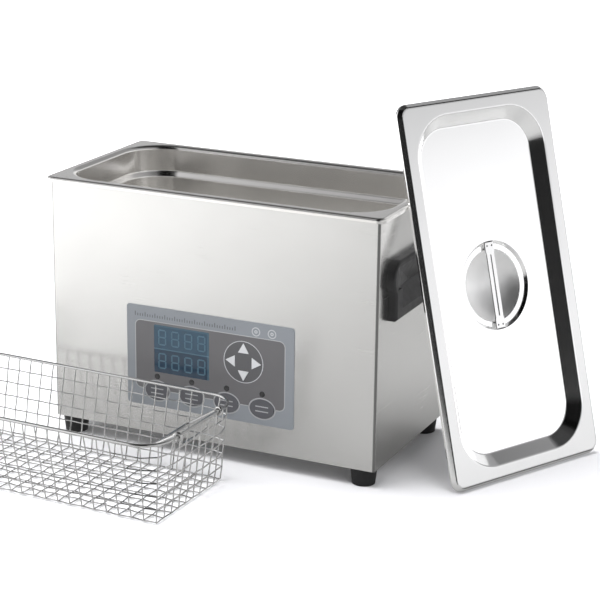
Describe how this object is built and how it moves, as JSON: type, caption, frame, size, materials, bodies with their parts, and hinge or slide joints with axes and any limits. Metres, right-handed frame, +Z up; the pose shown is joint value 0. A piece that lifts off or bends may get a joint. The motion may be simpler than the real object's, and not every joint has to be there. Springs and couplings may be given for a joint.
{
  "type": "ultrasonic cleaner",
  "caption": "Bench ultrasonic cleaner: stainless tank and casing with a digital control panel, lift-off recessed lid and wire basket with folding handles.",
  "frame": {"origin": "on the floor, under the centre of the casing", "axes": "+X along the cleaner's long side to its right, +Y from its front to its back, +Z up"},
  "size_m": [0.562, 0.3947, 0.3344],
  "materials": {
    "casing_steel": "fine brushed",
    "tank_steel": "satin",
    "lid_steel": "bright polished",
    "wire_steel": "electropolished",
    "screw_steel": "zinc plated",
    "aluminium": "machined",
    "piezo_ceramic": "silvered ceramic",
    "foot_rubber": "matt",
    "gasket_rubber": "matt",
    "heater_silicone": "matt",
    "overlay_film": "printed satin film",
    "key_plastic": "satin",
    "arrow_plastic": "satin",
    "display_tint": "tinted glossy",
    "lamp_plastic": "glossy",
    "handle_plastic": "fine texture",
    "black_plastic": "satin",
    "board_laminate": "solder mask",
    "ferrite": "matt",
    "capacitor_sleeve": "glossy",
    "brass": "bright",
    "cable_sheath": "satin"
  },
  "bodies": {
    "cleaner": {"outer_casing": "casing_steel", "rear_panel": "casing_steel", "base_plate": "casing_steel", "panel_screws": "screw_steel", "rubber_feet": "foot_rubber", "foot_screws": "screw_steel", "foot_nuts": "screw_steel", "tank": "tank_steel", "rim_gasket": "gasket_rubber", "transducer_horns": "aluminium", "piezo_rings": "piezo_ceramic", "transducer_back_masses": "screw_steel", "transducer_bolts": "screw_steel", "heater_pads": "heater_silicone", "temperature_probe": "aluminium", "thermal_cutout": "black_plastic", "generator_board": "board_laminate", "board_standoffs": "brass", "heatsinks": "aluminium", "output_transformer": "ferrite", "capacitors": "capacitor_sleeve", "fan_frame": "black_plastic", "fan_guard": "wire_steel", "fan_screws": "screw_steel", "front_overlay": "overlay_film", "display_window": "display_tint", "display_module": "black_plastic", "control_board": "board_laminate", "key_switches": "black_plastic", "status_lamps": "lamp_plastic", "right_handle": "handle_plastic", "left_handle": "handle_plastic", "power_inlet": "black_plastic", "inlet_pins": "brass", "fuse_holder": "black_plastic", "switch_frame": "black_plastic", "transducer_cables": "cable_sheath", "ribbon_cable": "cable_sheath", "mains_cables": "cable_sheath"},
    "oval_key_1_body": {"oval_key_1": "key_plastic"},
    "oval_key_2_body": {"oval_key_2": "key_plastic"},
    "oval_key_3_body": {"oval_key_3": "key_plastic"},
    "oval_key_4_body": {"oval_key_4": "key_plastic"},
    "arrow_key_up_body": {"arrow_key_up": "arrow_plastic"},
    "arrow_key_left_body": {"arrow_key_left": "arrow_plastic"},
    "arrow_key_right_body": {"arrow_key_right": "arrow_plastic"},
    "arrow_key_down_body": {"arrow_key_down": "arrow_plastic"},
    "fan_rotor_body": {"fan_rotor": "black_plastic"},
    "power_rocker_body": {"power_rocker": "black_plastic"},
    "lid": {"lid_pan": "lid_steel", "lid_grip_bar": "lid_steel"},
    "basket": {"basket_floor_wires": "wire_steel", "basket_wall_wires": "wire_steel", "basket_wall_loops": "wire_steel", "basket_rim": "wire_steel", "basket_stops": "wire_steel"},
    "right_bail": {"basket_handle_right": "wire_steel"},
    "left_bail": {"basket_handle_left": "wire_steel"}
  },
  "joints": [
    {"name": "oval_key_1_press", "type": "slide", "parent": "cleaner", "child": "oval_key_1_body", "axis": [0, 1, 0], "range_m": [0, 0.0004]},
    {"name": "oval_key_2_press", "type": "slide", "parent": "cleaner", "child": "oval_key_2_body", "axis": [0, 1, 0], "range_m": [0, 0.0004]},
    {"name": "oval_key_3_press", "type": "slide", "parent": "cleaner", "child": "oval_key_3_body", "axis": [0, 1, 0], "range_m": [0, 0.0004]},
    {"name": "oval_key_4_press", "type": "slide", "parent": "cleaner", "child": "oval_key_4_body", "axis": [0, 1, 0], "range_m": [0, 0.0004]},
    {"name": "arrow_key_up_press", "type": "slide", "parent": "cleaner", "child": "arrow_key_up_body", "axis": [0, 1, 0], "range_m": [0, 0.0004]},
    {"name": "arrow_key_left_press", "type": "slide", "parent": "cleaner", "child": "arrow_key_left_body", "axis": [0, 1, 0], "range_m": [0, 0.0004]},
    {"name": "arrow_key_right_press", "type": "slide", "parent": "cleaner", "child": "arrow_key_right_body", "axis": [0, 1, 0], "range_m": [0, 0.0004]},
    {"name": "arrow_key_down_press", "type": "slide", "parent": "cleaner", "child": "arrow_key_down_body", "axis": [0, 1, 0], "range_m": [0, 0.0004]},
    {"name": "fan_spin", "type": "hinge", "parent": "cleaner", "child": "fan_rotor_body", "pos_m": [0.088, 0.078, 0.082], "axis": [0, 1, 0], "continuous": true},
    {"name": "power_switch", "type": "hinge", "parent": "cleaner", "child": "power_rocker_body", "pos_m": [-0.095, 0.0832, 0.098], "axis": [1, 0, 0], "range_deg": [0, 16]},
    {"name": "lid_lift", "type": "slide", "parent": "cleaner", "child": "lid", "axis": [0, 0, 1], "range_m": [0, 0.3]},
    {"name": "basket_lift", "type": "slide", "parent": "cleaner", "child": "basket", "axis": [0, 0, 1], "range_m": [0, 0.3]},
    {"name": "right_bail_fold", "type": "hinge", "parent": "basket", "child": "right_bail", "pos_m": [0.04144, -0.18418, 0.075], "axis": [0.0297, 0.9996, 0], "range_deg": [0, 119]},
    {"name": "left_bail_fold", "type": "hinge", "parent": "basket", "child": "left_bail", "pos_m": [-0.24044, -0.17582, 0.075], "axis": [-0.0297, -0.9996, 0], "range_deg": [0, 119]}
  ]
}
